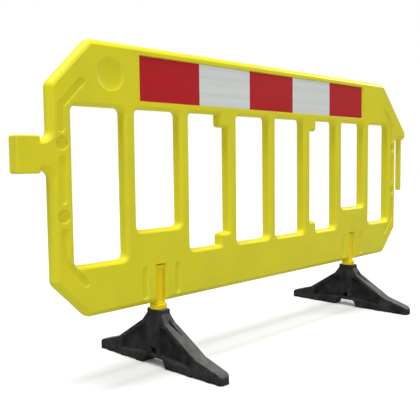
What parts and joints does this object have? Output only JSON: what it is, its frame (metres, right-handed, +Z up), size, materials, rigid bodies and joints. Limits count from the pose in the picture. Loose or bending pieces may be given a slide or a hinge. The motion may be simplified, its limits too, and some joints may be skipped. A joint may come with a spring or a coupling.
{
  "type": "plastic pedestrian barrier",
  "caption": "Slotted yellow moulded barrier panel with red and white reflective bands, a side sleeve and hook peg, on swivelling low rubber feet.",
  "frame": {"origin": "on the ground, under the middle of the barrier's length and of the panel's thickness", "axes": "+X along the panel towards the hook, +Y towards the rear face (the stems' channels open towards -Y), +Z up"},
  "size_m": [2.108, 0.588, 1],
  "materials": {
    "panel": "semi-gloss moulded polyethylene",
    "red_sheet": "retroreflective sheet",
    "white_sheet": "retroreflective sheet",
    "stem": "satin injection moulding",
    "foot": "matt recycled rubber",
    "fastener": "zinc plated"
  },
  "bodies": {
    "barrier": {"top_rail": "panel", "bottom_rail": "panel", "left_stile": "panel", "right_stile": "panel", "bar_1": "panel", "bar_2": "panel", "bar_3": "panel", "bar_4": "panel", "bar_5": "panel", "bar_6": "panel", "bar_7": "panel", "left_raised_rail": "panel", "right_raised_rail": "panel", "sleeve": "panel", "hook": "panel", "front_sheet_1": "red_sheet", "front_sheet_2": "white_sheet", "front_sheet_3": "red_sheet", "front_sheet_4": "white_sheet", "front_sheet_5": "red_sheet", "rear_sheet_1": "red_sheet", "rear_sheet_2": "white_sheet", "rear_sheet_3": "red_sheet", "rear_sheet_4": "white_sheet", "rear_sheet_5": "red_sheet"},
    "left_base": {"left_stem": "stem", "left_foot": "foot", "left_washer": "fastener", "left_bolt": "fastener"},
    "right_base": {"right_stem": "stem", "right_foot": "foot", "right_washer": "fastener", "right_bolt": "fastener"}
  },
  "joints": [
    {"name": "left_foot_swivel", "type": "hinge", "parent": "barrier", "child": "left_base", "pos_m": [-0.56419, 0, 0.207], "axis": [0, 0, 1], "range_deg": [-90, 90]},
    {"name": "right_foot_swivel", "type": "hinge", "parent": "barrier", "child": "right_base", "pos_m": [0.56419, 0, 0.207], "axis": [0, 0, 1], "range_deg": [-90, 90]}
  ]
}
